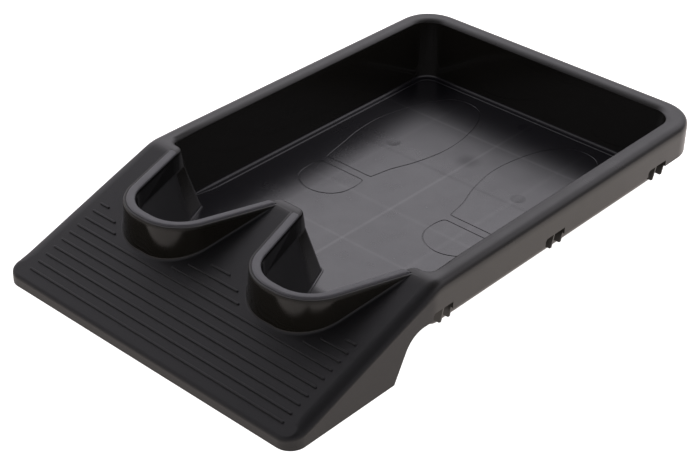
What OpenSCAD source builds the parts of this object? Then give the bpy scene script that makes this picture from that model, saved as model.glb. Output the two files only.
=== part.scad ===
// Boot tray with twin boot jacks. A shallow drip basin for a pair of boots stands behind a ribbed
// treadle ramp, and two U-shaped heel pockets reach from the basin out over the ramp.
// One moulded shell, two soft heel grips on the pocket rims and three rubber feet underneath.
// Origin: centre of the footprint, on the ground. +Y is the back of the basin, -Y the ramp's front edge.

/* [Overall] */
// Width across the outer skirt
tray_w = 400; // [380:1:440]
// Length from the front edge of the ramp to the back skirt
tray_l = 656; // [640:1:720]
// Height of the moulded rim above the ground
rim_h = 82.5; // [78:0.5:90]
// Wall thickness of the moulding
wall_t = 2.6; // [2:0.1:3.2]
// Radius that rolls the rim over into the skirt
rim_roll_r = 10; // [6:0.5:12]
// Radius that rolls the ramp's side edges over into the skirt
ramp_roll_r = 12; // [8:0.5:14]
// Plan radius of the two back corners
back_corner_r = 45; // [35:1:60]
// Plan radius of the two front corners
front_corner_r = 18; // [12:1:24]

/* [Basin] */
// Height of the basin floor's top face above the ground
floor_h = 8; // [7:0.5:12]
// Width of the side rims, from the skirt to the basin's mouth
side_rim_w = 20.5; // [18:0.5:28]
// Width of the back rim
back_rim_w = 24; // [20:0.5:30]
// How far each side wall of the basin leans in between the rim and the floor
side_lean = 9; // [6:0.5:14]
// How far the back wall leans in between the rim and the floor
back_lean = 4.5; // [3:0.5:10]
// Plan radius of the basin's corners at the rim
basin_corner_r = 26; // [20:1:34]
// Distance of the basin's front wall from the ramp's front edge, at the rim
basin_front_y = 211; // [206:1:216]
// How far the front wall leans in between the rim and the floor
front_lean = 16; // [10:0.5:20]

/* [Ramp] */
// Distance from the front edge at which the ramp reaches the rim
ramp_l = 200; // [190:1:204]
// Height of the ramp's front lip
lip_h = 12; // [9:0.5:16]
// Number of tread ribs that run the full width
full_rows = 7; // [4:1:7]
// Half the gap that each short rib row above them leaves around a pocket's centre line
row_gaps = [42, 54, 75];
// Distance of the first tread rib from the front edge
tread_first_y = 14.5; // [12:0.5:18]
// Distance between tread ribs
tread_pitch = 10.6; // [9:0.1:11]
// Width of a tread rib
tread_w = 2.6; // [2:0.1:3.5]
// Height of a tread rib above the ramp
tread_h = 1.1; // [0.6:0.1:1.6]
// Distance from the centre line to the ends of the tread ribs
tread_reach = 177; // [168:1:180]

/* [Heel pockets] */
// Distance of each pocket's centre line from the tray's centre line
pocket_x = 88.6; // [87:0.1:90]
// Radius of the two rounds at a pocket's tip, on the inside
tip_r = 40; // [36:1:42]
// Half the distance between the centres of those two rounds
tip_spread = 5; // [3:0.5:7]
// Distance of those centres from the front edge of the ramp
tip_y = 138.5; // [136:0.5:142]
// Half-angle at which a pocket opens towards the basin
open_angle = 18.43; // [17:0.1:19]
// Height above the ground where a pocket's upright wall turns into its slope
slope_top = 59; // [50:1:64]
// Radius of the pocket's tip on the floor
floor_tip_r = 18; // [12:1:24]
// Distance of the floor tip's centre from the front edge of the ramp
floor_tip_y = 136; // [132:1:142]
// Half-angle at which the pocket's floor opens towards the basin
floor_angle = 24; // [20:0.5:25]

/* [Heel grips] */
// Width of the soft grip on a pocket's rim
grip_w = 9.6; // [8:0.1:11]
// Thickness of the grip
grip_t = 2.5; // [1.5:0.1:4]
// Depth of the seat that the grip lies in
grip_seat = 2; // [1:0.1:2.4]
// Width of the low lip that runs round the outside of the grip
grip_lip_w = 2.4; // [1.8:0.1:3]
// Height of that lip above the grip's seat
grip_lip_h = 1; // [0.4:0.1:1.6]
// Distance of the grip's cut ends from the front edge of the ramp
grip_end_y = 199; // [190:1:200]
// Clearance between the grip and the moulding
grip_gap = 0.05; // [0.02:0.01:0.2]

/* [Skirt] */
// Height of the skirt's lower edge beside the basin
skirt_h = 45.4; // [38:0.2:50]
// Distance from the front edge at which the ramp's skirt leaves the ground
skirt_foot_y = 139; // [120:1:150]
// Angle of the skirt's edge where it climbs, from level
skirt_climb = 62.6; // [45:0.5:70]
// Radius that turns the climb into the level edge
skirt_bend_r = 28; // [16:1:30]

/* [Gussets] */
// Distances of the near and the far gusset of each pair from the front edge
gusset_pairs = [[209, 222], [385, 401], [569.5, 586.5]];
// Thickness of a gusset
gusset_t = 1.8; // [1.6:0.1:3]
// Height of a gusset's lower edge above the ground
gusset_low = 33; // [28:1:38]
// How far the notch in the skirt starts in front of a pair; it ends at the far gusset
notch_lead = 16; // [10:1:20]
// Height of that notch
notch_h = 7.6; // [3:0.1:9]

/* [Floor] */
// Thickness of the stiffening ribs under the floor and the ramp
rib_t = 2; // [1.4:0.1:2.6]
// Height of the ribs' lower edge above the ground
rib_low = 2.5; // [1:0.5:3]
// Distances of the cross ribs from the front edge
cross_ribs = [283, 370, 455, 545];
// Width of the grooves of the sole outlines
sole_line_w = 1.2; // [0.8:0.1:2]
// Depth of the grooves
sole_line_d = 0.6; // [0.3:0.1:1]
// Distance of each sole's centre from the centre line
sole_x = 90; // [84:1:94]

/* [Feet] */
// Diameter of a rubber foot
foot_d = 18; // [14:1:24]
// Diameter of the foot's stub, which is pressed into a socket under the floor
foot_stub_d = 10; // [8:0.5:12]
// Height of a foot below its socket
foot_h = 3; // [2:0.5:4]
// Distance of the side feet from the centre line
foot_x = 90; // [80:1:95]
// Distance of the side feet from the front edge
foot_side_y = 472; // [455:1:500]
// Distance of the rear foot from the front edge
foot_rear_y = 604; // [595:1:610]

/* [Hidden] */

shell_color = [0.16, 0.16, 0.17];
grip_color = [0.40, 0.40, 0.42];
foot_color = [0.07, 0.07, 0.07];

arc_steps = 14;
roll_steps = 6;
bend_steps = 8;
slab = 0.01;
below = 1;
far_out = 60;

half_w = tray_w / 2;
ramp_angle = atan((rim_h - lip_h) / ramp_l);
grip_top = rim_h - grip_seat + grip_t;
land_h = rim_h - grip_seat;
pocket_end_y = basin_front_y + front_lean + 6;
upright_tip_r = tip_r + grip_w + grip_lip_w;
mouth_x = half_w - side_rim_w;
floor_x = mouth_x - side_lean;
mouth_back_y = tray_l - back_rim_w;
floor_back_y = mouth_back_y - back_lean;
floor_front_y = basin_front_y + front_lean;
socket_t = 2.2;
rib_inset = 11;

// ---- plane curves -------------------------------------------------------------------------

function arc(cx, cy, r, a0, a1, n = arc_steps) =
    [for (i = [0:n]) let (a = a0 + (a1 - a0) * i / n) [cx + r * cos(a), cy + r * sin(a)]];

// A rectangle with one radius at its two front corners and another at its two back corners
function round_rect(x0, y0, x1, y1, r_front, r_back) = concat(
    arc(x1 - r_front, y0 + r_front, r_front, -90, 0),
    arc(x1 - r_back, y1 - r_back, r_back, 0, 90),
    arc(x0 + r_back, y1 - r_back, r_back, 90, 180),
    arc(x0 + r_front, y0 + r_front, r_front, 180, 270));

// A pocket in plan: two rounds at the tip, and sides that open at an angle up to end_y
function pocket_side_x(r, spread, cy, angle, y) =
    spread + r * cos(angle) + (y - cy + r * sin(angle)) * tan(angle);
function pocket_outline(cx, r, spread, cy, angle, end_y) = concat(
    [[cx + pocket_side_x(r, spread, cy, angle, end_y), end_y],
     [cx - pocket_side_x(r, spread, cy, angle, end_y), end_y]],
    arc(cx - spread, cy, r, 180 + angle, 270),
    arc(cx + spread, cy, r, 270, 360 - angle));
function upper_outline(cx, r, end_y) = pocket_outline(cx, r, tip_spread, tip_y, open_angle, end_y);

function plan_outline(inset) = round_rect(
    -half_w + inset, inset, half_w - inset, tray_l - inset,
    front_corner_r - inset, back_corner_r - inset);

// Section of the tray across its length, with a rolled edge of radius r at both sides
function rolled_section(inset, r, low) = concat(
    [[half_w - inset, low]],
    arc(half_w - r, rim_h - r, r - inset, 0, 90, roll_steps),
    arc(-half_w + r, rim_h - r, r - inset, 90, 180, roll_steps),
    [[-half_w + inset, low]]);

// ---- the moulding -------------------------------------------------------------------------

// Extrudes a section drawn in X and Z along +Y, from y0 to y1
module along_y(y0, y1) {
    translate([0, y1, 0])
        rotate([90, 0, 0])
            linear_extrude(y1 - y0)
                children();
}

// Extrudes a section drawn in Y and Z along X, across the whole tray
module across_x() {
    rotate([90, 0, 90])
        linear_extrude(tray_w + 2 * below, center = true)
            children();
}

// The level envelope: rolled at the sides and at the back
module level_envelope(inset) {
    intersection() {
        along_y(-below, tray_l)
            polygon(rolled_section(inset, rim_roll_r, -below));
        across_x()
            polygon(concat(
                [[-below, -2 * below], [tray_l - inset, -2 * below]],
                arc(tray_l - rim_roll_r, rim_h - rim_roll_r, rim_roll_r - inset, 0, 90, roll_steps),
                [[-below, rim_h - inset]]));
    }
}

// The tilted envelope, which is lower than the level one only over the ramp
module tilted_envelope(inset) {
    translate([0, ramp_l, rim_h])
        rotate([ramp_angle, 0, 0])
            translate([0, 0, -rim_h])
                along_y(-tray_l, tray_l)
                    polygon(rolled_section(inset, ramp_roll_r, -2 * tray_l));
}

// The outside of the moulding as one solid block, drawn in by inset. The pockets rise to pocket_top.
module outer_block(inset, pocket_top) {
    intersection() {
        translate([0, 0, -below])
            linear_extrude(rim_h + 2 * below)
                polygon(plan_outline(inset));
        level_envelope(inset);
        tilted_envelope(inset);
    }
    for (side = [-1, 1])
        translate([0, 0, -below])
            linear_extrude(pocket_top + below)
                polygon(upper_outline(side * pocket_x, upright_tip_r - inset, ramp_l + 6));
}

// The basin: a drafted box with round corners, grown outwards by grow
module basin_hollow(grow) {
    hull() {
        translate([0, 0, floor_h - grow])
            linear_extrude(slab)
                polygon(round_rect(-floor_x - grow, floor_front_y - grow, floor_x + grow, floor_back_y + grow,
                                   8 + grow, basin_corner_r - 4 + grow));
        translate([0, 0, rim_h + below])
            linear_extrude(slab)
                polygon(round_rect(-mouth_x - grow, basin_front_y - grow, mouth_x + grow, mouth_back_y + grow,
                                   8 + grow, basin_corner_r + grow));
    }
}

// One heel pocket: an upright wall above, and a funnel that narrows to the floor below
module pocket_hollow(cx, grow) {
    translate([0, 0, slope_top])
        linear_extrude(rim_h - slope_top + 2 * below)
            polygon(upper_outline(cx, tip_r + grow, pocket_end_y));
    hull() {
        translate([0, 0, slope_top])
            linear_extrude(slab)
                polygon(upper_outline(cx, tip_r + grow, pocket_end_y));
        translate([0, 0, floor_h - grow])
            linear_extrude(slab)
                polygon(pocket_outline(cx, floor_tip_r + grow, 0, floor_tip_y, floor_angle, pocket_end_y));
    }
}

module hollow(grow) {
    basin_hollow(grow);
    pocket_hollow(-pocket_x, grow);
    pocket_hollow(pocket_x, grow);
}

// The seat that each heel grip lies in
module grip_seats() {
    for (side = [-1, 1])
        translate([0, 0, land_h])
            linear_extrude(grip_t + below)
                difference() {
                    polygon(upper_outline(side * pocket_x, tip_r + grip_w + grip_gap, grip_end_y + grip_gap));
                    polygon(upper_outline(side * pocket_x, tip_r - below, grip_end_y + below));
                }
}

// Everything that the skirt's lower edge leaves away: the S-shaped climb and the notches
module skirt_cut() {
    climb_x = skirt_foot_y + (skirt_h - skirt_bend_r * (1 - cos(skirt_climb))) / tan(skirt_climb)
        + skirt_bend_r * sin(skirt_climb);
    difference() {
        union() {
            across_x()
                polygon(concat(
                    [[tray_l + below, -2 * below], [tray_l + below, skirt_h]],
                    arc(climb_x, skirt_h - skirt_bend_r, skirt_bend_r, 90, 90 + skirt_climb, bend_steps),
                    [[skirt_foot_y, 0], [skirt_foot_y, -2 * below]]));
            for (pair = gusset_pairs)
                translate([-half_w - below, pair[0] - notch_lead, skirt_h - below])
                    cube([tray_w + 2 * below, notch_lead + pair[1] - pair[0], notch_h + below]);
        }
        translate([0, 0, -3 * below])
            linear_extrude(rim_h)
                polygon(round_rect(-half_w + 12, skirt_foot_y - far_out, half_w - 12, tray_l - 12,
                                   8, back_corner_r - 12));
    }
}

// Pairs of gussets that tie the skirt to the basin wall and reach down past the skirt
module gussets() {
    for (pair = gusset_pairs, y = pair)
        along_y(y - gusset_t / 2, y + gusset_t / 2)
            for (side = [-1, 1])
                scale([side, 1])
                    polygon([[half_w - 27, gusset_low],
                             [half_w - 4, gusset_low],
                             [half_w - 0.8, skirt_h + notch_h + 2],
                             [half_w - 0.8, rim_h - rim_roll_r],
                             [half_w - 22, rim_h - rim_roll_r]]);
}

// Stiffening ribs under the floor and the ramp
module stiffeners() {
    for (x = [-pocket_x, 0, pocket_x])
        translate([x - rib_t / 2, wall_t, rib_low])
            cube([rib_t, tray_l - 2 * wall_t - rim_roll_r - back_rim_w, rim_h - wall_t - rib_low]);
    for (y = cross_ribs)
        translate([-floor_x + rib_inset, y - rib_t / 2, rib_low])
            cube([2 * (floor_x - rib_inset), rib_t, floor_h - rib_low]);
}

// One raised tread rib with round ends, from x0 to x1
module tread_rib(x0, x1, y) {
    translate([0, y, lip_h + y * tan(ramp_angle)])
        rotate([ramp_angle, 0, 0])
            translate([0, 0, -wall_t / 2])
                linear_extrude(wall_t / 2 + tread_h)
                    polygon(concat(
                        arc(x1 - tread_w / 2, 0, tread_w / 2, -90, 90, 6),
                        arc(x0 + tread_w / 2, 0, tread_w / 2, 90, 270, 6)));
}

// The full rows, and above them the short rows that stop clear of the pockets
module treads() {
    for (row = [0:full_rows - 1])
        tread_rib(-tread_reach, tread_reach, tread_first_y + row * tread_pitch);
    for (i = [0:len(row_gaps) - 1]) {
        y = tread_first_y + (full_rows + i) * tread_pitch;
        tread_rib(-tread_reach, -pocket_x - row_gaps[i], y);
        tread_rib(-pocket_x + row_gaps[i], pocket_x - row_gaps[i], y);
        tread_rib(pocket_x + row_gaps[i], tread_reach, y);
    }
}

// ---- sole outlines on the floor -----------------------------------------------------------

// A smooth curve through a list of points, as a Catmull-Rom spline with n steps a span
function spline_point(a, b, c, d, t) =
    0.5 * ((2 * b) + (c - a) * t + (2 * a - 5 * b + 4 * c - d) * t * t + (3 * b - a - 3 * c + d) * t * t * t);
function smooth_path(p, n) = let (last = len(p) - 1) concat(
    [for (i = [0:last - 1], k = [0:n - 1])
        spline_point(p[max(i - 1, 0)], p[i], p[i + 1], p[min(i + 2, last)], k / n)],
    [p[last]]);

// The heel is a D with its straight edge to the back. x grows away from the tray's centre line.
heel_front_y = 330;
heel_back_y = 384.5;
heel_half_w = 34;
function heel_shape() = concat(
    [[heel_half_w, heel_back_y], [-heel_half_w, heel_back_y]],
    arc(0, heel_front_y + heel_half_w, heel_half_w, 180, 360, 20));

// The sole runs from its straight edge at the waist round the ball of the foot and the toe.
sole_rear_y = 395.5;
toe_y = 604;
function sole_shape() = let (
    inner_side = [[-33, sole_rear_y], [-38, 424], [-49, 457], [-56, 498], [-53, 538], [-42, 576], [-24, 599]],
    outer_side = [[20, 593], [38, 556], [49, 510], [48, 468], [41, 432], [34, sole_rear_y]])
    smooth_path(concat(inner_side, [[0, toe_y]], outer_side), 5);

module sole_grooves() {
    translate([0, 0, floor_h - sole_line_d])
        linear_extrude(sole_line_d + below)
            for (side = [-1, 1])
                translate([side * sole_x, 0])
                    scale([side, 1])
                        for (shape = [heel_shape(), sole_shape()])
                            difference() {
                                offset(delta = sole_line_w / 2)
                                    polygon(shape);
                                offset(delta = -sole_line_w / 2)
                                    polygon(shape);
                            }
}

// ---- feet ---------------------------------------------------------------------------------

foot_places = [[-foot_x, foot_side_y], [foot_x, foot_side_y], [0, foot_rear_y]];

// A round pad under the floor with a blind socket for the foot's stub
module foot_socket(at) {
    translate([at[0], at[1], foot_h])
        cylinder(d = foot_d + 4, h = floor_h - wall_t - foot_h + 0.5, $fn = 48);
}

module foot(at) {
    color(foot_color)
        translate([at[0], at[1] - tray_l / 2, 0]) {
            cylinder(d = foot_d, h = foot_h, $fn = 48);
            translate([0, 0, foot_h - slab])
                cylinder(d = foot_stub_d, h = socket_t, $fn = 48);
        }
}

// ---- nodes --------------------------------------------------------------------------------

module tray_shell() {
    color(shell_color)
        translate([0, -tray_l / 2, 0])
            difference() {
                union() {
                    difference() {
                        outer_block(0, land_h + grip_lip_h);
                        difference() {
                            outer_block(wall_t, land_h - wall_t);
                            hollow(wall_t);
                            stiffeners();
                        }
                        skirt_cut();
                    }
                    gussets();
                    treads();
                    for (at = foot_places)
                        foot_socket(at);
                }
                hollow(0);
                grip_seats();
                sole_grooves();
                for (at = foot_places)
                    translate([at[0], at[1], 0])
                        cylinder(d = foot_stub_d + 0.1, h = foot_h + socket_t + 0.1, $fn = 48);
                translate([-half_w, 0, -2 * below])
                    cube([tray_w, tray_l, 2 * below]);
            }
}

module heel_grip(side) {
    color(grip_color)
        translate([0, -tray_l / 2, land_h + grip_gap])
            linear_extrude(grip_t - grip_gap)
                difference() {
                    polygon(upper_outline(side * pocket_x, tip_r + grip_w, grip_end_y));
                    polygon(upper_outline(side * pocket_x, tip_r, grip_end_y + below));
                }
}

module heel_grip_left() {
    heel_grip(-1);
}

module heel_grip_right() {
    heel_grip(1);
}

module foot_left() {
    foot(foot_places[0]);
}

module foot_right() {
    foot(foot_places[1]);
}

module foot_rear() {
    foot(foot_places[2]);
}

tray_shell();
heel_grip_left();
heel_grip_right();
foot_left();
foot_right();
foot_rear();
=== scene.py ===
"""Boot tray with two boot jacks: one moulded shell, two heel grips and three rubber feet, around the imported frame."""

from math import atan, copysign, cos, pi, radians, sin, sqrt, tan

import bmesh
import bpy
from mathutils import Matrix, Vector


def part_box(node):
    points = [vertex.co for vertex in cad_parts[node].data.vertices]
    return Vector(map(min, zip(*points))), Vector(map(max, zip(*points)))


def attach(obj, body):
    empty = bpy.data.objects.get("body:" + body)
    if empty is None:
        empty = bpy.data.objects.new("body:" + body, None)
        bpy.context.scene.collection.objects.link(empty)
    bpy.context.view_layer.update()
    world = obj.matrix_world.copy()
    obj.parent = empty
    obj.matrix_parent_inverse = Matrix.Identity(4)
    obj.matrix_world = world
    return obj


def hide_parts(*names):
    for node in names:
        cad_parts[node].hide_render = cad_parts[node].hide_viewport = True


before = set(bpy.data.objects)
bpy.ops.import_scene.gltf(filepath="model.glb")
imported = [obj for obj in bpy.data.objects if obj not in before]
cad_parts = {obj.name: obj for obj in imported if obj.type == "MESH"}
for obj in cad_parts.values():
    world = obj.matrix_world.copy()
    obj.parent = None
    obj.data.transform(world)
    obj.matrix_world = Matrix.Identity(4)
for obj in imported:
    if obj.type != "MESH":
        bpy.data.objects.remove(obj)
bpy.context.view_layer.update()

MM = 0.001

# ---- sizes, in millimetres, with y measured from the front edge of the ramp ----------------------

shell_low, shell_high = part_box("tray_shell")
grip_low, grip_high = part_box("heel_grip_right")
FRONT_Y = shell_low.y / MM  # the ramp's front edge, as the frame has it
HALF_W = shell_high.x / MM
LENGTH = (shell_high.y - shell_low.y) / MM
RIM_Z = shell_high.z / MM
WALL = 2.6

# corners in plan
BACK_CORNER_R = 45.0
FRONT_CORNER_R = 18.0

# ramp, and the crest that rounds it into the rim
RAMP_END_Y = 200.0
LIP_Z = 12.0
RAMP_RISE = (RIM_Z - LIP_Z) / RAMP_END_Y
RAMP_ANGLE = atan(RAMP_RISE)
CREST_R = 45.0
CREST_BACK_Y = RAMP_END_Y + CREST_R * tan(RAMP_ANGLE / 2)

# basin: its rim, the lean of its walls from rim to floor, and the ledge round its floor
FLOOR_Z = 8.0
SIDE_RIM_W = 22.2
BACK_RIM_W = 23.0
MOUTH_X = HALF_W - SIDE_RIM_W
MOUTH_BACK_Y = LENGTH - BACK_RIM_W
MOUTH_FRONT_Y = 211.0
SIDE_LEAN = 7.2
BACK_LEAN = 6.8
FRONT_LEAN = 14.5
NOSE_EDGE_R = 6.0
SIDE_CROWN_W = 9.0
SIDE_CROWN_DROP = 1.6
BACK_CROWN_W = 11.0
BACK_CROWN_DROP = 2.1
FLOOR_FILLET_R = 3.2
LEDGE_W = 3.0
LEDGE_H = 1.0

# heel pockets and the grips on their rims
GRIP_TOP_Z = grip_high.z / MM
SEAT_Z = RIM_Z - 2.0
GRIP_W = 9.6
LIP_W = 2.4
GRIP_LIP_Z = SEAT_Z + 1.0
POCKET_X = (grip_low.x + grip_high.x) / 2 / MM
GRIP_TIP_Y = grip_low.y / MM - FRONT_Y
GRIP_END_Y = grip_high.y / MM - FRONT_Y
TIP_R = 40.0
TIP_SPREAD = 5.0
TIP_Y = GRIP_TIP_Y + TIP_R + GRIP_W
OPEN_ANGLE = radians(18.43)
SLOPE_TOP_Z = 59.0
FLOOR_TIP_R = 18.0
FLOOR_TIP_Y = 136.0
FLOOR_ANGLE = radians(24.0)
LOBE_R = TIP_R + GRIP_W + LIP_W
LOBE_DRAFT = 0.02
ARM_DRAFT = 0.06
LOBE_FILLET = 2.6
LOBE_EDGE = ((1.0, 0.0), (0.62, 0.08), (0.29, 0.29), (0.08, 0.62), (0.0, 1.0))  # (way in, drop)

# skirt, its notches and the gussets behind them
SKIRT_Z = 45.4
SKIRT_FOOT_Y = 139.0
SKIRT_CLIMB = radians(62.6)
SKIRT_BEND_R = 28.0
SKIRT_REACH = 12.0  # how far in from its face the skirt is cut
SKIRT_REACH_Y = 60.0
NOTCH_Z = 53.0
NOTCH_LEAD = 16.0
NOTCH_BEVEL = 2.5
GUSSET_T = 1.8
GUSSET_LOW_Z = 33.0
GUSSET_TOP_Z = RIM_Z - 10
GUSSET_PAIRS = ((209.0, 222.0), (385.0, 401.0), (569.5, 586.5))


# ---- plane curves: lists of (point, outward normal) ----------------------------------------------


def rounded_path(corners, arcs, spans):
    """A path through corners (x, y, radius). Corner i is rounded in arcs[i] steps, and the straight part after it is
    cut at the shares in spans[i]. Each entry is a point with its normal, to the right of the way the path runs."""
    points = [Vector(c[:2]) for c in corners]
    ends = []
    for i, p in enumerate(points):
        if i in (0, len(points) - 1):
            ends.append((p, p, None, 0.0))
            continue
        back, ahead = (points[i - 1] - p).normalized(), (points[i + 1] - p).normalized()
        half = back.angle(ahead) / 2
        reach = corners[i][2] / tan(half)
        middle = p + (back + ahead).normalized() * corners[i][2] / sin(half)
        turn = pi - 2 * half
        if back.x * ahead.y - back.y * ahead.x > 0:
            turn = -turn
        ends.append((p + back * reach, p + ahead * reach, middle, turn))
    path = []
    for i, (entry, leave, middle, turn) in enumerate(ends):
        if middle is not None:
            spoke = entry - middle
            for k in range(arcs[i] + 1):
                arm = spoke.copy()
                arm.rotate(Matrix.Rotation(turn * k / arcs[i], 2))
                path.append((middle + arm, arm.normalized() * (1 if turn > 0 else -1)))
        if i + 1 < len(ends):
            start, stop = leave, ends[i + 1][0]
            along = (stop - start).normalized()
            normal = Vector((along.y, -along.x))
            if middle is None:
                path.append((start, normal))
            for share in spans[i]:
                path.append((start.lerp(stop, share), normal))
            if i + 2 == len(ends):
                path.append((stop, normal))
    return path


def even(count):
    """The shares that cut a straight part into count equal steps."""
    return [k / count for k in range(1, count)]


def mirrored(path):
    """Closes a right half, which runs from the front's middle to the back's middle, with its mirror image."""
    left = [(Vector((-p.x, p.y)), Vector((-n.x, n.y))) for p, n in reversed(path[1:-1])]
    return path + left


def soft_step(x, width):
    """0 below -width, x above width, and a parabola between them."""
    if x <= -width:
        return 0.0
    if x >= width:
        return x
    return (x + width) ** 2 / (4 * width)


def squared(value, power):
    """Bends a sine or a cosine so that a circle turns into a rounded square."""
    return copysign(abs(value) ** power, value)


def blend(a, b, share):
    return a + (b - a) * share


def smooth(x, low, high):
    """A smooth step from 0 at low to 1 at high."""
    t = min(max((x - low) / (high - low), 0.0), 1.0)
    return t * t * (3 - 2 * t)


# ---- meshes --------------------------------------------------------------------------------------


def place(p):
    """A point in millimetres from the ramp's front edge, as the frame's metres."""
    return Vector((p[0] * MM, (p[1] + FRONT_Y) * MM, p[2] * MM))


def frame_y(y):
    """A distance from the ramp's front edge, as a place on the frame's Y axis."""
    return (y + FRONT_Y) * MM


def in_scene(name, data):
    """A new object, linked to the scene."""
    piece = bpy.data.objects.new(name, data)
    bpy.context.scene.collection.objects.link(piece)
    return piece


def new_object(name, points, faces):
    """A closed mesh with its faces turned outwards."""
    mesh = bpy.data.meshes.new(name)
    mesh.from_pydata([place(p) for p in points], [], faces)
    work = bmesh.new()
    work.from_mesh(mesh)
    bmesh.ops.recalc_face_normals(work, faces=work.faces)
    work.to_mesh(mesh)
    work.free()
    return in_scene(name, mesh)


def skin(rings, closed=True):
    """Quads between rings that have the same number of points."""
    count = len(rings[0])
    faces = []
    for k in range(len(rings) - 1):
        for i in range(count if closed else count - 1):
            j = (i + 1) % count
            faces.append((k * count + i, k * count + j, (k + 1) * count + j, (k + 1) * count + i))
    return faces


def loft(name, rings):
    """A solid through closed rings, with a flat cap at each end."""
    count = len(rings[0])
    points = [p for ring in rings for p in ring]
    caps = [tuple(range(count)), tuple(range(len(points) - count, len(points)))]
    return new_object(name, points, skin(rings) + caps)


def ring_loft(name, rings):
    """A solid through closed rings, the last of which joins the first."""
    points = [p for ring in rings for p in ring]
    faces = [tuple(i % len(points) for i in face) for face in skin(rings + rings[:1])]
    return new_object(name, points, faces)


def prism(name, outline, low, high, axis="z"):
    """A solid between two copies of an outline, set along an axis from low to high."""
    def at(p, level):
        if axis == "x":
            return (level, p[0], p[1])
        if axis == "y":
            return (p[0], level, p[1])
        return (p[0], p[1], level)
    return loft(name, [[at(p, level) for p in outline] for level in (low, high)])


def combine(base, operation, *others):
    """Adds, cuts or keeps solids, and removes them."""
    for other in others:
        step = base.modifiers.new(operation, "BOOLEAN")
        step.solver = "MANIFOLD"
        step.operation = operation
        step.object = other
    graph = bpy.context.evaluated_depsgraph_get()
    result = bpy.data.meshes.new_from_object(base.evaluated_get(graph))
    base.modifiers.clear()
    base.data = result
    for other in others:
        bpy.data.objects.remove(other)
    return base


def joined(name, pieces):
    """One object from solids that stay clear of each other."""
    work = bmesh.new()
    for piece in pieces:
        work.from_mesh(piece.data)
        bpy.data.objects.remove(piece)
    mesh = bpy.data.meshes.new(name)
    work.to_mesh(mesh)
    work.free()
    return in_scene(name, mesh)


# ---- the moulding's outside ----------------------------------------------------------------------


def top_z(y, inset=0.0):
    """Height of the ramp and the rim at y, drawn in by inset, with the crest between them rounded."""
    crest_front_y = CREST_BACK_Y - (CREST_R - inset) * sin(RAMP_ANGLE)
    if y >= CREST_BACK_Y:
        return RIM_Z - inset
    if y <= crest_front_y:
        return LIP_Z + y * RAMP_RISE - inset / cos(RAMP_ANGLE)
    return RIM_Z - CREST_R + sqrt((CREST_R - inset) ** 2 - (CREST_BACK_Y - y) ** 2)


def roll_size(y):
    """Width, depth and squareness of the rolled edge at y: small on the front lip, wide beside the ramp, and on the
    rim a gentle crown that turns over into the skirt."""
    ramp, rim = smooth(y, 3, 26), smooth(y, 150, 235)
    back = smooth(y, LENGTH - 45, LENGTH - 12)
    return (blend(blend(blend(3.5, 15.0, ramp), 13.0, rim), 12.0, back),
            blend(blend(blend(3.5, 7.5, ramp), 13.0, rim), 10.0, back), blend(blend(1.0, 0.70, rim), 0.62, back))


CREST_LINES = [184.0 + 2.0 * k for k in range(14)]
SIDE_LINES = [30.0, 48.0, 70.0, 95.0, 120.0, 145.0, 168.0] + CREST_LINES + [225.0 + 32.0 * k for k in range(12)]


def plan_path(inset):
    straight_low, straight_high = FRONT_CORNER_R, LENGTH - BACK_CORNER_R
    shares = [(y - straight_low) / (straight_high - straight_low) for y in SIDE_LINES]
    corners = [(0, inset), (HALF_W - inset, inset, FRONT_CORNER_R - inset),
               (HALF_W - inset, LENGTH - inset, BACK_CORNER_R - inset), (0, LENGTH - inset)]
    return mirrored(rounded_path(corners, [0, 14, 20, 0], [even(14), shares, even(10), []]))


def outer_block(name, inset):
    """The ramp and the rim as one solid block with rolled edges, drawn in by inset."""
    path = plan_path(inset)
    steps = 14
    rings = [[(p.x, p.y, -1.0) for p, n in path]]
    for k in range(steps + 1):
        angle = pi / 2 * k / steps
        ring = []
        for p, n in path:
            width, depth, power = roll_size(p.y)
            q = p - n * (width - inset) * (1 - squared(cos(angle), power))
            ring.append((q.x, q.y, top_z(q.y, inset) - (depth - inset) * (1 - squared(sin(angle), power))))
        rings.append(ring)
    count = len(path)
    points = [p for ring in rings for p in ring]
    faces = skin(rings) + [tuple(range(count))]
    inner = len(points) - count
    half = count // 2
    # The top is cut into strips at the crest's lines, so that it bends there and stays flat elsewhere.
    right = []
    for i in range(half + 1):
        p, n = path[i]
        if abs(n.y) < 1e-6 and min(abs(p.y - y) for y in CREST_LINES) < 0.01:
            right.append(i)
    left = [count - i for i in right]
    faces.append(tuple(inner + i % count for i in range(left[0] - count, right[0] + 1)))
    for a, b, c, d in zip(right, right[1:], left[1:], left):
        faces.append((inner + a, inner + b, inner + c, inner + d))
    faces.append(tuple(inner + i for i in range(right[-1], left[-1] + 1)))
    return new_object(name, points, faces)


def pocket_half_w(r, spread, tip_y, angle, y):
    return spread + r * cos(angle) + (y - tip_y + r * sin(angle)) * tan(angle)


def lobe_path(r, end_y):
    """The outside of a right-hand pocket, from its left end round the tip to its right end."""
    end, tip = (pocket_half_w(r, TIP_SPREAD, TIP_Y, OPEN_ANGLE, y) for y in (end_y, TIP_Y - r))
    corners = [(POCKET_X - end, end_y), (POCKET_X - tip, TIP_Y - r, r), (POCKET_X + tip, TIP_Y - r, r),
               (POCKET_X + end, end_y)]
    return rounded_path(corners, [0, 26, 26, 0], [even(16), even(4), even(16), []])


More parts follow.
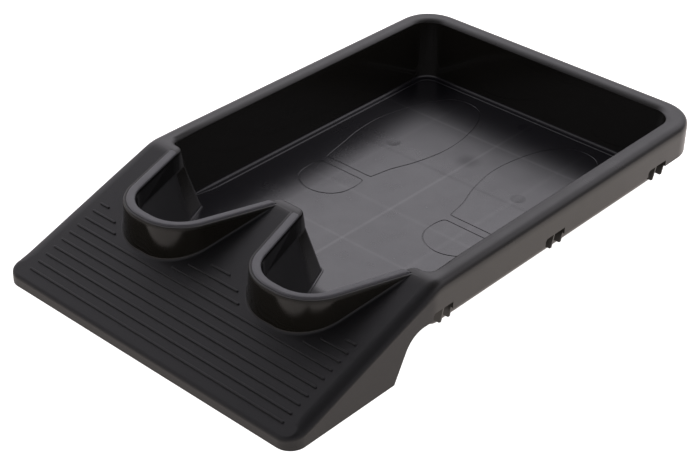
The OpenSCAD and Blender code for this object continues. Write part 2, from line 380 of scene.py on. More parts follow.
def lobe(name, inset):
    """The outside of one pocket's wall, which flares into the ramp at its foot."""
    path = lobe_path(LOBE_R - inset, RAMP_END_Y + 6.0)
    top = (GRIP_LIP_Z if inset == 0 else SEAT_Z) - inset
    flare_steps = 6
    columns = []
    for p, n in path:
        draft = LOBE_DRAFT + ARM_DRAFT * abs(n.x)
        reach = draft * (top - top_z(p.y))
        meet = p + n * reach
        meet_z = min(top_z(meet.y, inset), top - 1.3)
        slope = top_z(meet.y + n.y, inset) - top_z(meet.y, inset)
        size = max(min(LOBE_FILLET, (top - 1.0 - meet_z) * 0.6), 0.1)
        column = [(p - n * way_in, top - drop) for way_in, drop in LOBE_EDGE]
        for k in range(flare_steps + 1):
            t = k / flare_steps
            up, out = size * (1 - t) ** 2, size * t ** 2
            q = meet - n * up * draft + n * out
            column.append((q, meet_z + up + slope * out - 0.02 * t))
        column.append((column[-1][0], -1.0))
        columns.append([(q.x, q.y, z) for q, z in column])
    return loft(name, [list(ring) for ring in zip(*columns)])


# ---- the moulding's inside -----------------------------------------------------------------------


def cavity_outline(wall_z):
    """The outline of the basin and its two pockets where their walls stand at wall_z, as (point, normal)."""
    depth = (RIM_Z - wall_z) / (RIM_Z - FLOOR_Z)
    side_x = MOUTH_X - SIDE_LEAN * depth
    front_y = MOUTH_FRONT_Y + FRONT_LEAN * depth
    back_y = MOUTH_BACK_Y - BACK_LEAN * depth
    share = soft_step(SLOPE_TOP_Z - wall_z, 1.5) / (SLOPE_TOP_Z - FLOOR_Z)
    r, spread = blend(TIP_R, FLOOR_TIP_R, share), blend(TIP_SPREAD, 0.3, share)
    tip_y, angle = blend(TIP_Y, FLOOR_TIP_Y, share), blend(OPEN_ANGLE, FLOOR_ANGLE, share)
    mouth, tip = (pocket_half_w(r, spread, tip_y, angle, y) for y in (front_y, tip_y - r))
    corners = [(0, front_y), (POCKET_X - mouth, front_y, 9.0), (POCKET_X - tip, tip_y - r, r),
               (POCKET_X + tip, tip_y - r, r), (POCKET_X + mouth, front_y, 9.0), (side_x, front_y, 9.0),
               (side_x, back_y, blend(26.0, 22.0, depth)), (0, back_y)]
    arcs = [0, 10, 24, 24, 10, 12, 22, 0]
    spans = [even(2), even(16), even(3), even(16), [], even(36), even(12), []]
    return mirrored(rounded_path(corners, arcs, spans))


def mouth_edge(share, back):
    """Section of the mouth's edge as (way out, depth below the rim). Share 0 is the gentle crown of the basin's rim,
    with a small round at the wall, and share 1 the full round of the nose between the pockets."""
    width = blend(SIDE_CROWN_W, BACK_CROWN_W, back)
    fall = blend(SIDE_CROWN_DROP, BACK_CROWN_DROP, back)
    corner = [(0.0, 1.3), (0.07, 0.92), (0.26, 0.6), (0.6, 0.3), (1.1, 0.0)]
    crown = [(u, fall + drop) for u, drop in corner]
    for k in range(1, 9):
        u = blend(1.1, width, k / 8)
        crown.append((u, fall * ((width - u) / (width - 1.1)) ** 2))
    section = []
    for k, (u, drop) in enumerate(crown):
        angle = pi / 2 * k / (len(crown) - 1)
        section.append((blend(u, NOSE_EDGE_R * (1 - cos(angle)), share),
                        blend(drop, NOSE_EDGE_R * (1 - sin(angle)), share)))
    return section


LEDGE_SECTION = ((-1.0, 0.0), (-0.5, 0.12), (-0.2, 0.4), (0.0, 0.75), (0.25, 0.94), (0.7, 1.0))  # (way out, rise)
# Heights of the rings up the walls, close together where a pocket's slope turns into its upright wall.
WALL_LEVELS = (20.0, 32.0, 44.0, 52.0, 56.5, 57.5, 58.2, 58.8, 59.4, 60.2, 61.5, 70.0)


def cavity(name, grow, open_edge):
    """The hollow: a low ledge and a fillet round the floor, drafted walls and, if asked for, an edge that opens out."""
    floor = FLOOR_Z - grow
    levels = []
    steps = 8
    if grow == 0:
        inner = -FLOOR_FILLET_R - LEDGE_W
        for offset, rise in LEDGE_SECTION:
            levels.append((floor + LEDGE_H * rise, inner + offset))
        floor += LEDGE_H
    fillet = FLOOR_FILLET_R + grow * 1.7
    for k in range(steps + 1):
        angle = pi / 2 * k / steps
        levels.append((floor + fillet * (1 - cos(angle)), grow - fillet * (1 - sin(angle))))
    for z in WALL_LEVELS:
        levels.append((z, grow))
    rings = []
    for z, offset in levels:
        ring = []
        for p, n in cavity_outline(min(max(z, FLOOR_Z), RIM_Z)):
            reach = offset
            if grow == 0:  # the ledge and the fillet shrink towards the pockets, whose feet are crisp
                reach *= blend(0.25, 1.0, smooth(p.y, MOUTH_FRONT_Y + 18, MOUTH_FRONT_Y + 50))
            ring.append((p.x + n.x * reach, p.y + n.y * reach, z))
        rings.append(ring)
    outline = cavity_outline(RIM_Z - 2.0)
    if open_edge:
        columns = []
        for p, n in outline:
            section = mouth_edge(1 - smooth(p.y, MOUTH_FRONT_Y + 4, MOUTH_FRONT_Y + 45), max(n.y, 0.0) ** 2)
            columns.append([(p.x + n.x * u, p.y + n.y * u, RIM_Z - drop) for u, drop in section])
        rings += [list(ring) for ring in zip(*columns)]
    else:
        rings.append([(p.x + n.x * grow, p.y + n.y * grow, RIM_Z) for p, n in outline])
    rings.append([(x, y, RIM_Z + 5.0) for x, y, z in rings[-1]])
    return loft(name, rings)


def smooth_curve(points, steps):
    """A closed smooth curve through points: a Catmull-Rom spline."""
    curve = []
    for i in range(len(points)):
        a, b, c, d = (Vector(points[(i + k) % len(points)]) for k in (-1, 0, 1, 2))
        for k in range(steps):
            t = k / steps
            curve.append(0.5 * (2 * b + (c - a) * t + (2 * a - 5 * b + 4 * c - d) * t * t
                                + (3 * b - a - 3 * c + d) * t * t * t))
    return curve


def tube(name, curve, radius, sides=10):
    """A closed round tube along a closed curve of 3-D points that lies level."""
    rings = []
    for i, p in enumerate(curve):
        along = (curve[(i + 1) % len(curve)] - curve[i - 1]).normalized()
        side = Vector((along.y, -along.x, 0.0)).normalized()
        rings.append([p + side * radius * cos(2 * pi * k / sides) + Vector((0, 0, radius * sin(2 * pi * k / sides)))
                      for k in range(sides)])
    return ring_loft(name, rings)


def turned(name, profile, middle, steps=48):
    """A solid of revolution about a vertical axis, from a profile of (radius, height) without points on the axis."""
    rings = []
    for r, z in profile:
        rings.append([(middle[0] + r * cos(2 * pi * k / steps), middle[1] + r * sin(2 * pi * k / steps), z)
                      for k in range(steps)])
    return loft(name, rings)


def ring_solid(name, profile, middle, steps=56):
    """A ring with a closed section of (radius, height) points about a vertical axis."""
    rings = []
    for k in range(steps):
        angle = 2 * pi * k / steps
        rings.append([(middle[0] + r * cos(angle), middle[1] + r * sin(angle), z) for r, z in profile])
    return ring_loft(name, rings)


# ---- details of the moulding ---------------------------------------------------------------------

TREAD_FIRST_Y = 14.5
TREAD_PITCH = 10.6
TREAD_W = 2.6
TREAD_H = 1.3
TREAD_REACH = 177.3
TREAD_POWER = 0.6
FULL_ROWS = 7
ROW_GAPS = (42.0, 54.0, 75.0)


def tread_rib(x0, x1, y):
    """One raised rib with round ends, half sunk in the ramp."""
    sides, end_steps, radius = 20, 5, TREAD_W / 2
    stations = []
    for k in range(1, end_steps + 1):
        angle = pi / 2 * k / end_steps
        stations.append((radius * (1 - cos(angle)), sin(angle)))
    run = [(x0 + d, s) for d, s in stations] + [(x1 - d, s) for d, s in reversed(stations)]
    rings = []
    for x, s in run:
        ring = []
        for k in range(sides):
            angle = 2 * pi * k / sides
            across = radius * s * squared(cos(angle), TREAD_POWER)
            up = TREAD_H * s * squared(sin(angle), TREAD_POWER)
            ring.append((x, y + across * cos(RAMP_ANGLE) - up * sin(RAMP_ANGLE),
                         top_z(y) + across * sin(RAMP_ANGLE) + up * cos(RAMP_ANGLE)))
        rings.append(ring)
    return loft("tread_rib", rings)


def treads():
    """Seven full rows, and above them three short rows that stop clear of the pockets."""
    rows = []
    for row in range(FULL_ROWS):
        rows.append((-TREAD_REACH, TREAD_REACH, TREAD_FIRST_Y + row * TREAD_PITCH))
    for i, gap in enumerate(ROW_GAPS):
        y = TREAD_FIRST_Y + (FULL_ROWS + i) * TREAD_PITCH
        rows.append((-TREAD_REACH, -POCKET_X - gap, y))
        rows.append((-POCKET_X + gap, POCKET_X - gap, y))
        rows.append((POCKET_X + gap, TREAD_REACH, y))
    return joined("treads", [tread_rib(*row) for row in rows])


def skirt_cut():
    """What the skirt leaves open below its edge: the S-shaped climb behind the ramp and the notches."""
    climb_y = (SKIRT_FOOT_Y + (SKIRT_Z - SKIRT_BEND_R * (1 - cos(SKIRT_CLIMB))) / tan(SKIRT_CLIMB)
               + SKIRT_BEND_R * sin(SKIRT_CLIMB))
    edge = [(LENGTH + 5, -2.0), (LENGTH + 5, SKIRT_Z)]
    for k in range(17):
        angle = SKIRT_CLIMB * k / 16
        edge.append((climb_y - SKIRT_BEND_R * sin(angle), SKIRT_Z - SKIRT_BEND_R * (1 - cos(angle))))
    edge += [(SKIRT_FOOT_Y, 0.0), (SKIRT_FOOT_Y, -2.0)]
    whole = prism("skirt_cut", edge, -HALF_W - 5, HALF_W + 5, axis="x")
    for near, far in GUSSET_PAIRS:
        low = SKIRT_Z - 1
        start = near - NOTCH_LEAD
        notch = [(start, low), (far, low), (far, NOTCH_Z), (start + NOTCH_BEVEL, NOTCH_Z),
                 (start, NOTCH_Z - NOTCH_BEVEL)]
        combine(whole, "UNION", prism("notch", notch, -HALF_W - 5, HALF_W + 5, axis="x"))
    side_x, corner_x = HALF_W - SKIRT_REACH, HALF_W - BACK_CORNER_R
    back_y, corner_y = LENGTH - SKIRT_REACH, LENGTH - BACK_CORNER_R
    inner = [(-side_x, SKIRT_REACH_Y), (side_x, SKIRT_REACH_Y), (side_x, corner_y), (corner_x, back_y),
             (-corner_x, back_y), (-side_x, corner_y)]
    return combine(whole, "DIFFERENCE", prism("inner", inner, -3.0, RIM_Z))


def gussets():
    """Pairs of plates that tie the skirt to the basin's wall and reach down past the skirt."""
    plates = []
    profile = [(HALF_W - 27, GUSSET_LOW_Z), (HALF_W - 5.0, GUSSET_LOW_Z), (HALF_W - 3.8, GUSSET_LOW_Z + 1),
               (HALF_W - 0.9, NOTCH_Z + 1), (HALF_W - 0.9, GUSSET_TOP_Z), (HALF_W - 22, GUSSET_TOP_Z)]
    for pair in GUSSET_PAIRS:
        for y in pair:
            for side in (-1, 1):
                outline = [(side * x, z) for x, z in profile]
                plates.append(prism("gusset", outline, y - GUSSET_T / 2, y + GUSSET_T / 2, axis="y"))
    return joined("gussets", plates)


RIB_T = 2.0
RIB_LOW_Z = 2.5
RIB_END_Y = LENGTH - 40
CROSS_REACH = 158.0
CROSS_RIBS = (283.0, 371.5, 457.0, 546.0)


def stiffeners():
    """Ribs under the floor and the ramp."""
    ribs = []
    for x in (-POCKET_X, 0.0, POCKET_X):
        low_x, high_x = x - RIB_T / 2, x + RIB_T / 2
        outline = [(low_x, WALL), (high_x, WALL), (high_x, RIB_END_Y), (low_x, RIB_END_Y)]
        ribs.append(prism("rib", outline, RIB_LOW_Z, RIM_Z - WALL))
    whole = joined("ribs", ribs)
    cross = []
    for y in CROSS_RIBS:
        low_y, high_y = y - RIB_T / 2, y + RIB_T / 2
        outline = [(-CROSS_REACH, low_y), (CROSS_REACH, low_y), (CROSS_REACH, high_y), (-CROSS_REACH, high_y)]
        cross.append(prism("rib", outline, RIB_LOW_Z, FLOOR_Z))
    return combine(whole, "UNION", joined("cross", cross))


FOOT_PLACES = {}
for foot_name in ("foot_left", "foot_right", "foot_rear"):
    low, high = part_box(foot_name)
    FOOT_PLACES[foot_name] = ((low.x + high.x) / 2 / MM, (low.y + high.y) / 2 / MM - FRONT_Y)
FOOT_R = (high.x - low.x) / 2 / MM
FOOT_TOP_Z = high.z / MM
FOOT_H = 3.0
STUB_R = 5.0


def sockets():
    return joined("sockets", [turned("socket", [(FOOT_R + 2, FOOT_H), (FOOT_R + 2, FLOOR_Z - WALL + 0.6)], at)
                              for at in FOOT_PLACES.values()])


def stub_holes():
    return joined("holes", [turned("hole", [(STUB_R + 0.05, -1.0), (STUB_R + 0.05, FOOT_TOP_Z + 0.1)], at)
                            for at in FOOT_PLACES.values()])


SOLE_X = 90.0
GROOVE_R = 0.8
GROOVE_Z = FLOOR_Z + 0.25
MARK_R = 9.4
MARK_DEPTH = 0.2
RING_RADII = (14.0, 19.0)
RING_HALF_W = 1.2
RING_DEPTH = 0.07
RING_Y = 281.0


def sole_outlines():
    """Round grooves that draw a heel and a sole for each boot on the floor."""
    heel = [(0, 330), (-13, 332.5), (-25, 340), (-32, 351.5), (-34, 366), (-33.2, 377), (-31, 383.2), (-26.5, 384.5),
            (-13, 384.5), (0, 384.5)]
    heel += [(-x, y) for x, y in reversed(heel[1:-1])]
    sole = [(0, 395.5), (-15, 395.5), (-29, 395.6), (-33, 398.5), (-38, 424), (-49, 457), (-56, 498), (-53, 538),
            (-42, 576), (-24, 599), (0, 604), (20, 593), (38, 556), (49, 510), (48, 468), (41, 432), (34, 399),
            (30, 395.6), (15, 395.5)]
    cutters = []
    for side in (-1, 1):
        for outline in (heel, sole):
            curve = [Vector((side * (SOLE_X + p.x), p.y, GROOVE_Z)) for p in smooth_curve(outline, 8)]
            cutters.append(tube("groove", curve, GROOVE_R))
    return joined("grooves", cutters)


def gate_marks():
    """Shallow round marks in the floor above each foot, and two faint rings behind the pockets."""
    marks = []
    above = FLOOR_Z + 2
    for at in FOOT_PLACES.values():
        profile = [(0.4, FLOOR_Z - MARK_DEPTH), (MARK_R - 1.2, FLOOR_Z - MARK_DEPTH), (MARK_R, FLOOR_Z + 0.02),
                   (MARK_R, above), (0.4, above)]
        marks.append(turned("mark", profile, at))
    for side in (-1, 1):
        for radius in RING_RADII:
            inner, outer = radius - RING_HALF_W, radius + RING_HALF_W
            profile = [(inner, FLOOR_Z + 0.01), (radius, FLOOR_Z - RING_DEPTH), (outer, FLOOR_Z + 0.01),
                       (outer, above), (inner, above)]
            marks.append(ring_solid("ring", profile, (side * SOLE_X, RING_Y)))
    return joined("marks", marks)


def seats():
    """The seats that the heel grips lie in."""
    cutters = []
    for side in (-1, 1):
        outline = [(side * p.x, p.y) for p, n in lobe_path(TIP_R + GRIP_W + 0.1, GRIP_END_Y + 0.1)]
        cutters.append(prism("seat", outline, SEAT_Z, RIM_Z + 4))
    return joined("seats", cutters)


def mirror_solid(piece):
    """A copy of a solid on the other side of the tray."""
    work = bmesh.new()
    work.from_mesh(piece.data)
    for vertex in work.verts:
        vertex.co.x = -vertex.co.x
    bmesh.ops.reverse_faces(work, faces=work.faces)
    mesh = bpy.data.meshes.new(piece.name)
    work.to_mesh(mesh)
    work.free()
    return in_scene(piece.name, mesh)


def both_lobes(inset):
    right = lobe("lobe", inset)
    return mirror_solid(right), right


def tidied(piece):
    """Closes slivers and drops any crumb that the cuts left beside the main body."""
    work = bmesh.new()
    work.from_mesh(piece.data)
    bmesh.ops.dissolve_degenerate(work, dist=0.002 * MM, edges=work.edges)
    left = set(work.verts)
    bodies = []
    while left:
        body, edge = set(), [left.pop()]
        while edge:
            vertex = edge.pop()
            body.add(vertex)
            for link in vertex.link_edges:
                other = link.other_vert(vertex)
                if other in left:
                    left.discard(other)
                    edge.append(other)
        bodies.append(body)
    for crumb in sorted(bodies, key=len)[:-1]:
        bmesh.ops.delete(work, geom=list(crumb), context="VERTS")
    work.to_mesh(piece.data)
    work.free()
    return piece


def build_shell():
    inside = combine(outer_block("inside", WALL), "UNION", *both_lobes(WALL))
    combine(inside, "DIFFERENCE", cavity("walls", WALL, False), stiffeners())
    shell = combine(outer_block("moulded_tray", 0.0), "UNION", *both_lobes(0.0))
    combine(shell, "DIFFERENCE", inside, skirt_cut())
    combine(shell, "UNION", gussets(), sockets(), treads())
    combine(shell, "DIFFERENCE", cavity("hollow", 0.0, True), seats(), sole_outlines(), gate_marks(),
            stub_holes())
    combine(shell, "DIFFERENCE", prism("ground", [(-300, -50), (300, -50), (300, 700), (-300, 700)], -5.0, 0.0))
    return tidied(shell)


def shade(piece, angle):
    """Smooth shading with sharp edges past an angle, and normals that follow the large faces."""
    mesh = piece.data
    mesh.shade_smooth()
    mesh.set_sharp_from_angle(angle=radians(angle))
    weigh = piece.modifiers.new("weigh", "WEIGHTED_NORMAL")
    weigh.keep_sharp = True
    weigh.weight = 60


# ---- heel grips and feet -------------------------------------------------------------------------

GRIP_END_R = 1.9


def grip_section(inset):
    """The grip's section as (distance from its inner edge, height): a low bead on a flat foot."""
    count = 28
    foot_z = SEAT_Z + 0.05
    section = []
    for k in range(count + 1):
        angle = pi * k / count
        across = (GRIP_W / 2 - 0.15 - inset) * squared(cos(angle), 0.62)
        up = (GRIP_TOP_Z - foot_z - inset * 0.8) * squared(sin(angle), 0.74)
        section.append((GRIP_W / 2 + across, foot_z + up))
    return section


def heel_grip(name, side):
    """A soft strip round the edge of one pocket, with rounded ends that stand square to the tray."""
    path = lobe_path(TIP_R, GRIP_END_Y)
    rings = []
    steps = 5
    rounding = [(GRIP_END_R * (1 - sin(pi / 2 * k / steps)), GRIP_END_R * (1 - cos(pi / 2 * k / steps)))
                for k in range(steps + 1)]
    for i, (p, n) in enumerate(path):
        forward = Vector((-n.y, n.x))
        places = [(0.0, 0.0)]
        if i == 0:
            places = [(shift, inset) for inset, shift in rounding]
        if i == len(path) - 1:
            places = [(-shift, inset) for inset, shift in reversed(rounding)]
        for shift, inset in places:
            ring = []
            for u, z in grip_section(inset):
                q = p + n * u + forward * shift
                if i in (0, len(path) - 1):
                    q += forward * ((GRIP_END_Y - p.y + n.y * -u) / forward.y)
                ring.append((side * q.x, q.y, z))
            rings.append(ring)
    return loft(name, rings)


def foot(name, at):
    """A round rubber foot with a soft rim, a ring in its sole and a stub."""
    profile = [(2.0, 0.5), (5.4, 0.5), (5.8, 0.0), (8.2, 0.0), (8.8, 0.25), (FOOT_R, 0.9), (FOOT_R, 2.4),
               (8.7, FOOT_H - 0.1), (8.4, FOOT_H), (STUB_R, FOOT_H), (STUB_R, FOOT_TOP_Z - 0.5),
               (STUB_R - 0.5, FOOT_TOP_Z)]
    return turned(name, profile, at, steps=64)


# ---- materials -----------------------------------------------------------------------------------


class Material:
    """A small builder for node materials: each method adds one node and returns its output."""

    def __init__(self, name):
        self.material = bpy.data.materials.new(name)
        self.material.use_nodes = True
        self.tree = self.material.node_tree
        self.surface = self.tree.nodes["Principled BSDF"]
        self.position = self.tree.nodes.new("ShaderNodeTexCoord").outputs["Object"]

    def add(self, kind, inputs=None, **settings):
        node = self.tree.nodes.new(kind)
        for key, value in settings.items():
            setattr(node, key, value)
        for key, value in (inputs or {}).items():
            self.link(value, node.inputs[key])
        return node

    def link(self, value, socket):
        if isinstance(value, bpy.types.NodeSocket):
            self.tree.links.new(value, socket)
        else:
            socket.default_value = value

    def math(self, operation, *values):
        return self.add("ShaderNodeMath", dict(enumerate(values)), operation=operation).outputs[0]

    def distance(self, a, b):
        """The length of a step of a one way and b square to it."""
        return self.math("SQRT", self.math("ADD", self.math("MULTIPLY", a, a), self.math("MULTIPLY", b, b)))

    def noise(self, scale, detail=3.0, roughness=0.5):
        inputs = {"Vector": self.position, "Scale": scale, "Detail": detail, "Roughness": roughness}
        return self.add("ShaderNodeTexNoise", inputs).outputs["Fac"]

    def remap(self, value, low, high, to_low, to_high, smooth_ends=True):
        inputs = {"Value": value, "From Min": low, "From Max": high, "To Min": to_low, "To Max": to_high}
        kind = "SMOOTHSTEP" if smooth_ends else "LINEAR"
        return self.add("ShaderNodeMapRange", inputs, interpolation_type=kind).outputs["Result"]

    def mix(self, share, a, b):
        """a and b are numbers or number sockets."""
        node = self.add("ShaderNodeMix", {0: share, 2: a, 3: b}, data_type="FLOAT")
        return node.outputs[0]

    def tint(self, share, a, b):
        """a and b are colours."""
        node = self.add("ShaderNodeMix", data_type="RGBA")
        self.link(share, node.inputs[0])
        self.link(a, node.inputs[6])
        self.link(b, node.inputs[7])
        return node.outputs[2]

    def axis(self, name):
        return self.add("ShaderNodeSeparateXYZ", {0: self.position}).outputs[name]

    def bump(self, height, strength, distance, under=None):
        inputs = {"Height": height, "Strength": strength, "Distance": distance}
        if under is not None:
            inputs["Normal"] = under
        return self.add("ShaderNodeBump", inputs).outputs["Normal"]

    def finish(self, colour, roughness, normal, specular=0.5):
        self.link(colour, self.surface.inputs["Base Color"])
        self.link(roughness, self.surface.inputs["Roughness"])
        self.link(normal, self.surface.inputs["Normal"])
        self.link(specular, self.surface.inputs["Specular IOR Level"])
        return self.material


def pocket_wall(m, z):
    """A mask of the upright band of wall under the heel grips, where tray_plastic paints shade."""
    across = m.math("ABSOLUTE", m.math("SUBTRACT", m.math("ABSOLUTE", m.axis("X")), POCKET_X * MM))
    ahead = m.math("SUBTRACT", m.axis("Y"), frame_y(TIP_Y))
    beside = m.math("MAXIMUM", m.math("SUBTRACT", across, TIP_SPREAD * MM), 0.0)
    reach = m.distance(beside, ahead)
    round_part = m.remap(reach, (TIP_R + 3) * MM, (TIP_R + 5) * MM, 1.0, 0.0)
    spread = m.math("SUBTRACT", across, m.math("MULTIPLY", ahead, tan(OPEN_ANGLE)))
    edge = TIP_SPREAD + TIP_R / cos(OPEN_ANGLE)
    arms = m.math("MULTIPLY", m.remap(spread, (edge + 3) * MM, (edge + 5) * MM, 1.0, 0.0),
                  m.remap(ahead, -TIP_R * sin(OPEN_ANGLE) * MM, (1 - TIP_R * sin(OPEN_ANGLE)) * MM, 0.0, 1.0))
    height = m.math("MULTIPLY", m.remap(z, (SLOPE_TOP_Z - 0.5) * MM, (SLOPE_TOP_Z + 1.5) * MM, 0.0, 1.0),
                    m.remap(z, (SEAT_Z - 1.2) * MM, (SEAT_Z - 0.6) * MM, 1.0, 0.0))
    return m.math("MULTIPLY", m.math("MAXIMUM", round_part, arms), height)


# Marks in the floor's sheen where ribs and feet show through: (axis, place, half width, gain) for a line, and
# (place, inner radius, outer radius, gain) for a spot.
FLOOR_LINES = (("X", 2.5, 3.0, 0.20), ("X", -89.0, 5.0, 0.08), ("X", 89.0, 5.0, 0.08), ("Y", 283.0, 3.0, 0.12),
               ("Y", 360.0, 4.0, 0.08), ("Y", 457.0, 4.0, -0.10), ("Y", 546.0, 3.0, 0.25))
FLOOR_SPOTS = [(at, 8.0, MARK_R, -0.20) for at in FOOT_PLACES.values()] + [((0.0, 498.0), 2.0, 20.0, -0.28)]


def tray_plastic():
    """Black moulded plastic: matt on the ramp, satin on the floor, the rim and the skirt, glossy on the basin's walls.
    The band of wall under the grips is darkened here, because its reflection did not come out as in the photo."""
    m = Material("tray_plastic")
    y, z = m.axis("Y"), m.axis("Z")
    ramp_z = m.math("MULTIPLY_ADD", y, RAMP_RISE, (LIP_Z - FRONT_Y * RAMP_RISE) * MM)
    on_ramp = m.remap(m.math("SUBTRACT", z, ramp_z), 1.2 * MM, 2.4 * MM, 1.0, 0.0)
    not_rim = m.remap(y, frame_y(RAMP_END_Y - 12), frame_y(RAMP_END_Y + 2), 1.0, 0.0)
    on_ramp = m.math("MULTIPLY", on_ramp, not_rim)
    on_floor = m.remap(z, 9.0 * MM, 14.0 * MM, 1.0, 0.0)
    behind = m.remap(y, frame_y(SKIRT_FOOT_Y - 25), frame_y(SKIRT_FOOT_Y - 15), 0.0, 1.0)
    on_floor = m.math("MULTIPLY", on_floor, behind)
    cloud = m.noise(9.0, 4.0)
    smear = m.noise(38.0, 5.0, 0.6)
    grain = m.noise(2600.0, 2.0, 0.6)
    plain = m.tint(cloud, (0.0090, 0.0083, 0.0064, 1), (0.0110, 0.0101, 0.0080, 1))
    field = m.tint(smear, (0.0035, 0.0034, 0.0038, 1), (0.0060, 0.0058, 0.0062, 1))
    wet = m.tint(cloud, (0.0058, 0.0052, 0.0080, 1), (0.0074, 0.0068, 0.0098, 1))
    colour = m.tint(on_ramp, m.tint(on_floor, plain, wet), field)
    off_middle = m.math("ABSOLUTE", m.axis("X"))
    inside = m.remap(off_middle, (MOUTH_X - 3) * MM, (MOUTH_X + 1) * MM, 1.0, 0.0)
    inside = m.math("MULTIPLY", inside, m.remap(z, (RIM_Z - 6) * MM, (RIM_Z - 2) * MM, 1.0, 0.0))
    satin = m.remap(smear, 0.3, 0.7, 0.27, 0.33, False)
    gloss = m.remap(smear, 0.3, 0.7, 0.06, 0.10, False)
    far = m.remap(y, frame_y(430), frame_y(560), 0.0, 0.08)
    floor = m.math("ADD", m.remap(smear, 0.3, 0.7, 0.23, 0.28, False), far)
    before_rim = m.remap(y, frame_y(RAMP_END_Y - 12), frame_y(RAMP_END_Y - 3), 1.0, 0.0)
    satin = m.mix(before_rim, satin, 0.38)
    roughness = m.mix(on_ramp, m.mix(on_floor, m.mix(inside, satin, gloss), floor), 0.46)
    depth = m.mix(on_ramp, m.mix(on_floor, 0.10, 0.02), 0.6)
    normal = m.bump(grain, depth, 0.00015)
    normal = m.bump(m.noise(14.0, 2.0), 0.12, 0.0012, normal)
    on_rim = m.math("MULTIPLY", m.remap(z, (RIM_Z - 7) * MM, (RIM_Z - 3) * MM, 0.0, 1.0),
                    m.remap(y, frame_y(RAMP_END_Y + 5), frame_y(RAMP_END_Y + 35), 0.0, 1.0))
    lines = 0.70
    for axis, at, half, gain in FLOOR_LINES:
        off = m.math("ABSOLUTE", m.math("SUBTRACT", m.axis(axis), frame_y(at) if axis == "Y" else at * MM))
        lines = m.math("ADD", m.remap(off, 0.4 * MM, half * MM, gain, 0.0), lines)
    for (at_x, at_y), inner, outer, gain in FLOOR_SPOTS:
        reach = m.distance(m.math("SUBTRACT", m.axis("X"), at_x * MM), m.math("SUBTRACT", y, frame_y(at_y)))
        lines = m.math("ADD", m.remap(reach, inner * MM, outer * MM, gain, 0.0), lines)
    under_grips = m.remap(y, frame_y(RAMP_END_Y), frame_y(RAMP_END_Y + 8), 1.0, 0.0)
    on_lobes = m.math("MULTIPLY", before_rim, m.remap(off_middle, 172 * MM, 178 * MM, 1.0, 0.0))
    sheen = m.mix(on_lobes, m.mix(on_rim, 0.5, 0.40), 0.28)
    sheen = m.mix(on_ramp, m.mix(on_floor, sheen, lines), 0.42)
    # Painted shade: the band of pocket wall under the grips gets a darker colour and a lower specular level.
    shaded = m.math("MULTIPLY", pocket_wall(m, z), under_grips)
    colour = m.tint(shaded, colour, (0.0035, 0.0032, 0.0028, 1))
    return m.finish(colour, roughness, normal, m.mix(shaded, sheen, 0.06))


def grip_rubber():
    """Soft dark grey rubber with a dry sheen."""
    m = Material("grip_rubber")
    smear = m.noise(60.0, 4.0, 0.6)
    grain = m.noise(3200.0, 2.0, 0.6)
    colour = m.tint(smear, (0.050, 0.050, 0.054, 1), (0.066, 0.065, 0.070, 1))
    roughness = m.remap(smear, 0.3, 0.7, 0.38, 0.47, False)
    return m.finish(colour, roughness, m.bump(grain, 0.25, 0.0001), 0.62)


def foot_rubber():
    """Matt black rubber with a fine texture."""
    m = Material("foot_rubber")
    grain = m.noise(1800.0, 3.0, 0.6)
    colour = m.tint(m.noise(120.0, 3.0), (0.012, 0.012, 0.012, 1), (0.022, 0.021, 0.020, 1))
    return m.finish(colour, m.remap(grain, 0.2, 0.8, 0.6, 0.8, False), m.bump(grain, 0.5, 0.0002))


def dress(piece, material, slot, *nodes):
    """Gives a piece its material and its body, and hides the CAD nodes that it stands for. The slot argument is not
    used.
    """
    piece.data.materials.clear()
    piece.data.materials.append(material)
    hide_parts(*nodes)
    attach(piece, "root")


shell = build_shell()
shade(shell, 32)
dress(shell, tray_plastic(), "tray_plastic", "tray_shell")

rubber = grip_rubber()
for node, side in (("heel_grip_left", -1), ("heel_grip_right", 1)):
    grip = heel_grip(node + "_strip", side)
    shade(grip, 40)
    dress(grip, rubber, "grip_rubber", node)

foot_finish = foot_rubber()
for node, at in FOOT_PLACES.items():
    pad = foot(node + "_pad", at)
    shade(pad, 40)
    dress(pad, foot_finish, "foot_rubber", node)


# ---- floor, light and camera ---------------------------------------------------------------------


def studio_floor():
    """A pale level floor that the camera sees as plain white."""
    mesh = bpy.data.meshes.new("studio_floor")
    reach = 12.0
    corners = [(-reach, -reach, 0), (reach, -reach, 0), (reach, reach, 0), (-reach, reach, 0)]
    mesh.from_pydata(corners, [], [(0, 1, 2, 3)])
    plane = in_scene("studio_floor", mesh)
    m = Material("studio_floor")
    colour = m.tint(m.noise(2.0), (0.70, 0.68, 0.66, 1), (0.73, 0.71, 0.69, 1))
    seen = m.tree.nodes.new("ShaderNodeLightPath").outputs["Is Camera Ray"]
    m.link(m.tint(seen, (0.79, 0.715, 0.66, 1), (1.1, 1.1, 1.1, 1)), m.surface.inputs["Emission Color"])
    m.surface.inputs["Emission Strength"].default_value = 1.0
    mesh.materials.append(m.finish(colour, 0.7, m.bump(m.noise(300.0), 0.02, 0.0005), 0.2))


def softbox(name, at, size, power):
    """A large area light that faces the middle of the tray."""
    data = bpy.data.lights.new(name, "AREA")
    data.shape = "RECTANGLE"
    data.size, data.size_y = size
    data.energy = power
    lamp = in_scene(name, data)
    lamp.location = at
    lamp.rotation_euler = (-Vector(at)).to_track_quat("-Z", "Y").to_euler()


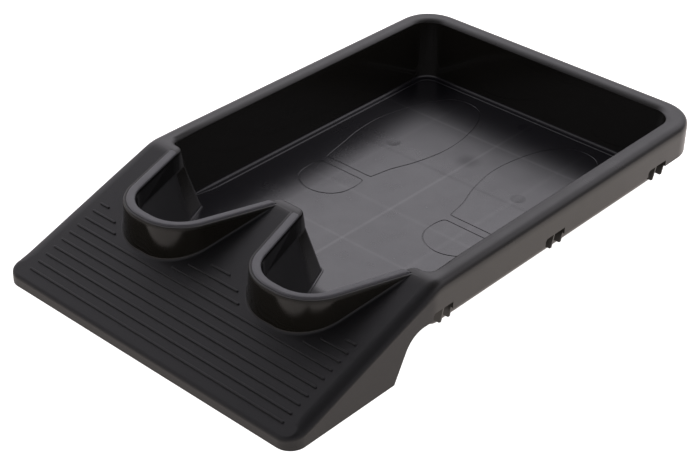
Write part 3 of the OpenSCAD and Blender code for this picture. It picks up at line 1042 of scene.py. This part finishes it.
def studio_world():
    """A white studio: a bright band a third of the way up the sky, dimmer at the horizon and dark overhead."""
    world = bpy.data.worlds.new("studio")
    world.use_nodes = True
    tree = world.node_tree
    height = tree.nodes.new("ShaderNodeSeparateXYZ")
    outlook = tree.nodes.new("ShaderNodeTexCoord").outputs["Generated"]
    tree.links.new(outlook, height.inputs[0])
    flat = tree.nodes.new("ShaderNodeVectorMath")
    flat.operation = "MULTIPLY"
    flat.inputs[1].default_value = (1, 1, 0)
    tree.links.new(outlook, flat.inputs[0])
    level_way = tree.nodes.new("ShaderNodeVectorMath")
    level_way.operation = "NORMALIZE"
    tree.links.new(flat.outputs[0], level_way.inputs[0])
    toward = tree.nodes.new("ShaderNodeVectorMath")
    toward.operation = "DOT_PRODUCT"
    toward.inputs[1].default_value = (-0.66, 0.75, 0)
    tree.links.new(level_way.outputs[0], toward.inputs[0])
    shares = []
    for source, low, high, start, stop in ((height.outputs["Z"], 0.40, 0.58, 0.42, 1.0),
                                           (height.outputs["Z"], 0.60, 0.90, 1.0, 0.05),
                                           (toward.outputs["Value"], 0.0, 0.75, 0.42, 1.0)):
        step = tree.nodes.new("ShaderNodeMapRange")
        step.interpolation_type = "SMOOTHSTEP"
        for name, value in (("From Min", low), ("From Max", high), ("To Min", start), ("To Max", stop)):
            step.inputs[name].default_value = value
        tree.links.new(source, step.inputs["Value"])
        shares.append(step.outputs["Result"])
    strength = 1.95
    for share in shares:
        product = tree.nodes.new("ShaderNodeMath")
        product.operation = "MULTIPLY"
        tree.links.new(share, product.inputs[0])
        if isinstance(strength, float):
            product.inputs[1].default_value = strength
        else:
            tree.links.new(strength, product.inputs[1])
        strength = product.outputs[0]
    background = tree.nodes["Background"]
    background.inputs["Color"].default_value = (1.0, 0.965, 1.04, 1)
    tree.links.new(strength, background.inputs["Strength"])
    bpy.context.scene.world = world
    bpy.context.scene.view_settings.view_transform = "Standard"


def camera():
    """The viewing angle: from the front right, 33 degrees down, with a slight roll."""
    data = bpy.data.cameras.new("camera")
    data.sensor_width = 36.0
    data.lens = 85.74
    data.clip_end = 50.0
    around, down, roll = radians(41.53), radians(33.01), radians(1.13)
    forward = Vector((-sin(around) * cos(down), cos(around) * cos(down), -sin(down)))
    right = Vector((cos(around), sin(around), 0.0))
    up = right.cross(forward)
    across = right * cos(roll) + up * sin(roll)
    upward = up * cos(roll) - right * sin(roll)
    eye = in_scene("camera", data)
    eye.matrix_world = Matrix.Translation((0.98024, -1.13654, 0.96608)) @ Matrix(
        (across, upward, -forward)).transposed().to_4x4()
    bpy.context.scene.camera = eye


studio_floor()
studio_world()
softbox("back_light", (-1.6, 2.2, 1.9), (2.2, 1.4), 2)
camera()
